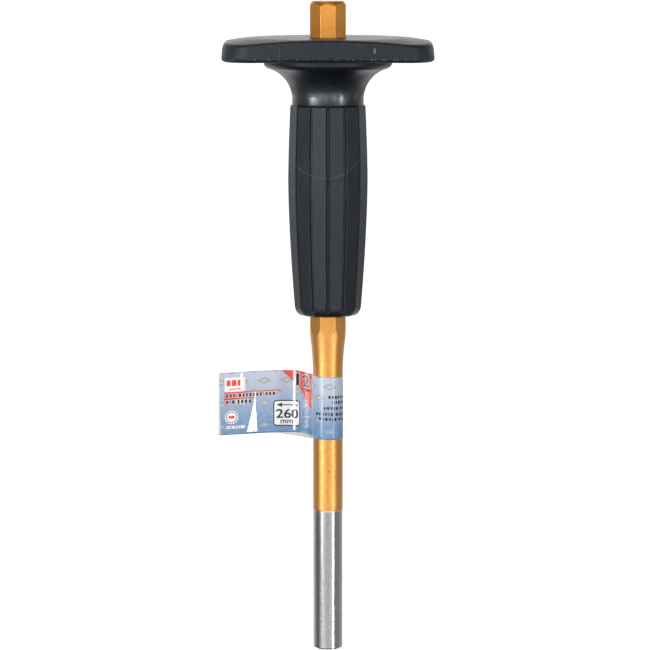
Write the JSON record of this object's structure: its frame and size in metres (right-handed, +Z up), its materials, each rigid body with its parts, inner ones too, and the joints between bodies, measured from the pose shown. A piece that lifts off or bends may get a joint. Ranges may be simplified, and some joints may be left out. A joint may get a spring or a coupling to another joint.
{
  "type": "pin punch with hand guard",
  "caption": "Straight pin punch with octagonal shank, chamfered striking head, ground round tip, push-on ribbed hand guard with a wide plate, and a film flag label.",
  "frame": {"origin": "centre of the flat tip face, on the punch axis", "axes": "+Z up the punch axis from the tip to the striking head; the front of the tool faces -Y; the label's flag points to -X"},
  "size_m": [0.0862, 0.059, 0.26],
  "materials": {
    "lacquered_steel": "gold clear lacquer over forged steel, bare ground steel at the tip",
    "guard_rubber": "satin black moulded rubber",
    "label_film": "glossy printed film"
  },
  "bodies": {
    "punch": {"punch": "lacquered_steel", "flag_label": "label_film"},
    "guard": {"hand_guard": "guard_rubber"}
  },
  "joints": [
    {"name": "guard_slide", "type": "slide", "parent": "punch", "child": "guard", "axis": [0, 0, 1], "range_m": [0, 0.126]}
  ]
}
